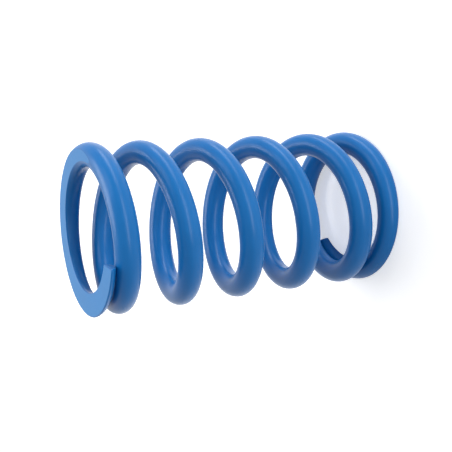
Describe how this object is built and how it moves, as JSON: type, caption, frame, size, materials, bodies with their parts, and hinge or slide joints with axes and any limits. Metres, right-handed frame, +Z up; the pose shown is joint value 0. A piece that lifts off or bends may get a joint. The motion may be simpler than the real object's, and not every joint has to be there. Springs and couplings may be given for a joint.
{
  "type": "helical compression spring",
  "caption": "Helical compression spring in round wire, with closed ends ground flat, painted blue; it pushes back along its axis.",
  "frame": {"origin": "centre of the lower ground face, on the coil's axis", "axes": "+Z up along the coil's axis, towards the upper ground face; +X through the lower tip of the wire"},
  "size_m": [0.049, 0.049, 0.092],
  "materials": {
    "paint": "satin"
  },
  "bodies": {
    "root": {"spring": "paint"}
  },
  "joints": []
}
